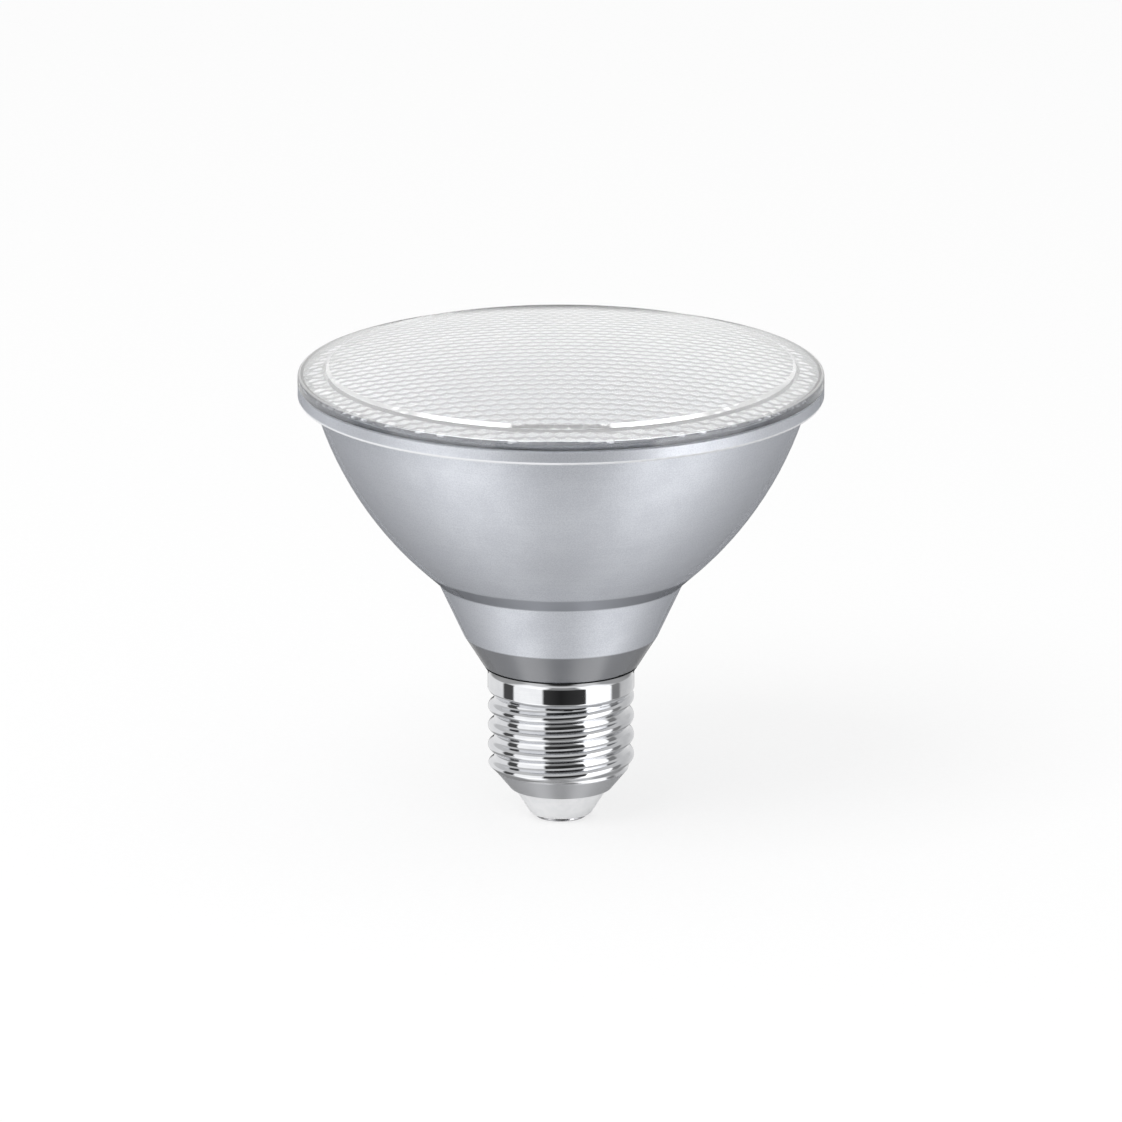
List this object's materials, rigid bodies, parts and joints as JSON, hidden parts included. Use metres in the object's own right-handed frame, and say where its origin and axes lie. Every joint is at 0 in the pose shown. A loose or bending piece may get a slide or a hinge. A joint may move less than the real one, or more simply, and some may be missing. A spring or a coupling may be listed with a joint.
{
  "type": "par spotlight bulb",
  "caption": "Reflector spot lamp: silver bowl housing, clear domed pillow lens, LED board and driver inside, E27 screw cap below.",
  "frame": {"origin": "middle of the centre contact's end face, where the cap meets its holder", "axes": "+Z along the lamp's axis from the cap to the lens; X and Y across it"},
  "size_m": [0.095, 0.095, 0.0884],
  "materials": {
    "silver_lacquer": "satin silver lacquer on a moulded housing",
    "clear_lens": "clear moulded lens with pillow texture",
    "bright_cap": "bright nickel plate",
    "white_insulator": "glossy white",
    "plated_contact": "nickel plate",
    "satin_white": "satin white moulding",
    "bare_aluminium": "turned",
    "white_mask": "white solder mask",
    "led_yellow": "phosphor under a clear dome",
    "steel_screw": "zinc plate",
    "white_nylon": "moulded nylon",
    "green_board": "green solder mask",
    "ferrite": "fired ferrite",
    "amber_tape": "amber winding tape",
    "black_sleeve": "shrunk sleeve",
    "yellow_case": "moulded case",
    "black_package": "moulded package",
    "grey_resistor": "coated ceramic",
    "blue_disc": "dipped coat",
    "brown_lead": "brown insulation",
    "blue_lead": "blue insulation",
    "red_lead": "red insulation",
    "black_lead": "black insulation"
  },
  "bodies": {
    "root": {"housing": "silver_lacquer", "front_lens": "clear_lens", "screw_shell": "bright_cap", "cap_insulator": "white_insulator", "centre_contact": "plated_contact", "reflector": "satin_white", "heat_spreader": "bare_aluminium", "led_board": "white_mask", "led_packages": "led_yellow", "board_screws": "steel_screw", "led_connector": "white_nylon", "driver_board": "green_board", "transformer_core": "ferrite", "transformer_winding": "amber_tape", "input_capacitor": "black_sleeve", "output_capacitor": "black_sleeve", "film_capacitor": "yellow_case", "filter_inductor": "ferrite", "bridge_rectifier": "black_package", "controller_chip": "black_package", "fuse_resistor": "grey_resistor", "varistor": "blue_disc", "live_lead": "brown_lead", "neutral_lead": "blue_lead", "led_lead_positive": "red_lead", "led_lead_negative": "black_lead"}
  },
  "joints": []
}
